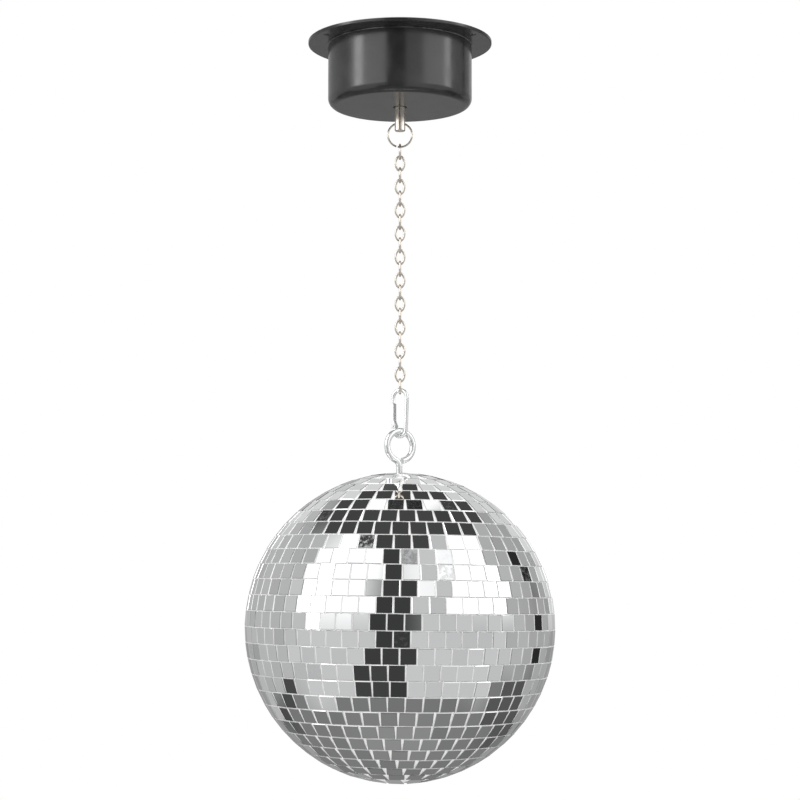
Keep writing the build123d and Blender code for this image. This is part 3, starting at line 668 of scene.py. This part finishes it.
clean_glass = (0.93, 0.94, 0.945, 1)
dull_glass = (0.42, 0.43, 0.44, 1)
glass_coat = 0.3
coat_roughness = 0.01
glass_roughness = 0.015
haze_roughness = 0.35
blotch_scale = 420
speck_scale = 3000
tone_spread = 0.25
clean_haze = 0.03
tarnished_share = 0.06
tarnished_haze = (0.3, 1)
tarnished_tone = 0.3
tile_seed = 20

bm = bmesh.new()
bmesh.ops.create_cube(bm, size=1)
bmesh.ops.scale(bm, vec=(tile_cut, tile_cut, tile_thick), verts=bm.verts)
bmesh.ops.translate(bm, verts=bm.verts, vec=(0, 0, tile_thick / 2))
front_edges = [e for e in bm.edges if all(v.co.z > tile_thick / 2 for v in e.verts)]
bmesh.ops.bevel(
    bm,
    geom=front_edges,
    offset=edge_ease,
    segments=1,
    profile=0.5,
    affect="EDGES",
    material=-1,
)
one_tile = bpy.data.meshes.new("one_tile")
bm.to_mesh(one_tile)
bm.free()


def corner_drop(latitude):
    """How far a flat tile's lower corners hang below the middle of its lower edge."""
    return (tile_side / 2) ** 2 * math.tan(latitude) / (2 * tile_face)


latitudes = [(tile_side + tile_gap) / 2 / tile_face]
for row in range(1, rows_per_half):
    step = (tile_side + tile_gap) / tile_face
    step += corner_drop(latitudes[-1] + step) / tile_face
    latitudes.append(latitudes[-1] + step)


def tile_places(half, rows):
    """Where each tile of some rows stands: 1 is the upper half of the ball, -1 the lower."""
    places = []
    for row in rows:
        latitude = latitudes[row]
        back = tile_face - tile_thick
        edge = back * math.cos(latitude) - tile_side / 2 * math.sin(latitude)
        count = int(math.pi / math.atan((tile_side + tile_gap) / 2 / edge))
        shift = (row * row_stagger + (0 if half > 0 else lower_stagger)) % 1
        for tile in range(count):
            around = 2 * math.pi * (tile + shift) / count
            place = Matrix.Translation(ball_centre)
            place = place @ Matrix.Rotation(tile_roll, 4, "Y")
            place = place @ Matrix.Rotation(around, 4, "Z")
            place = place @ Matrix.Rotation(math.pi / 2 - half * latitude, 4, "Y")
            place = place @ Matrix.Rotation(math.pi / 2, 4, "Z")
            places.append(place @ Matrix.Translation((0, 0, back)))
    return places


def mirror_glass():
    """Silvered glass: each tile has its own tone and haze, read from its faces."""
    material = bpy.data.materials.new("mirror_glass")
    material.use_nodes = True
    tree = material.node_tree
    shader = tree.nodes["Principled BSDF"]
    shader.inputs["Metallic"].default_value = 1.0
    shader.inputs["Coat Weight"].default_value = glass_coat
    shader.inputs["Coat Roughness"].default_value = coat_roughness
    tone = tree.nodes.new("ShaderNodeAttribute")
    tone.attribute_name = "tile_tone"
    haze = tree.nodes.new("ShaderNodeAttribute")
    haze.attribute_name = "tile_haze"
    pattern = grain_node(tree, blotch_scale, speck_scale)
    colour = tree.nodes.new("ShaderNodeMix")
    colour.data_type = "RGBA"
    colour.inputs["A"].default_value = dull_glass
    colour.inputs["B"].default_value = clean_glass
    tree.links.new(tone.outputs["Fac"], colour.inputs["Factor"])
    tree.links.new(colour.outputs["Result"], shader.inputs["Base Color"])
    blotch = maths(tree, "MULTIPLY", haze.outputs["Fac"], pattern.outputs["Mottle"])
    rough = maths(tree, "MULTIPLY", blotch, haze_roughness)
    rough = maths(tree, "ADD", rough, glass_roughness)
    tree.links.new(rough, shader.inputs["Roughness"])
    return material


mirror = mirror_glass()
bands = {
    "tiles_top_cap": (1, range(rows_per_half - cap_rows, rows_per_half)),
    "tiles_upper": (1, range(rows_per_half - cap_rows)),
    "tiles_lower": (-1, range(rows_per_half - cap_rows)),
    "tiles_bottom_cap": (-1, range(rows_per_half - cap_rows, rows_per_half)),
}
draw = random.Random(tile_seed)
for node, (half, rows) in bands.items():
    bm = bmesh.new()
    tone_layer = bm.faces.layers.float.new("tile_tone")
    haze_layer = bm.faces.layers.float.new("tile_haze")
    for place in tile_places(half, rows):
        for axis in "XYZ":
            tilt = draw.uniform(-tilt_spread, tilt_spread)
            place = place @ Matrix.Rotation(tilt, 4, axis)
        tone = 1 - tone_spread * draw.random() ** 3
        haze = clean_haze
        if draw.random() < tarnished_share:
            haze = draw.uniform(*tarnished_haze)
            tone -= tarnished_tone
        had_verts = len(bm.verts)
        had_faces = len(bm.faces)
        bm.from_mesh(one_tile)
        bm.verts.ensure_lookup_table()
        bm.faces.ensure_lookup_table()
        bmesh.ops.transform(bm, matrix=place, verts=bm.verts[had_verts:])
        for face in bm.faces[had_faces:]:
            face[tone_layer] = tone
            face[haze_layer] = haze
    piece = piece_of(bm, f"mirror_{node}", mirror, smooth=False)
    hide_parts(node)
    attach(piece, "ball")
bpy.data.meshes.remove(one_tile)
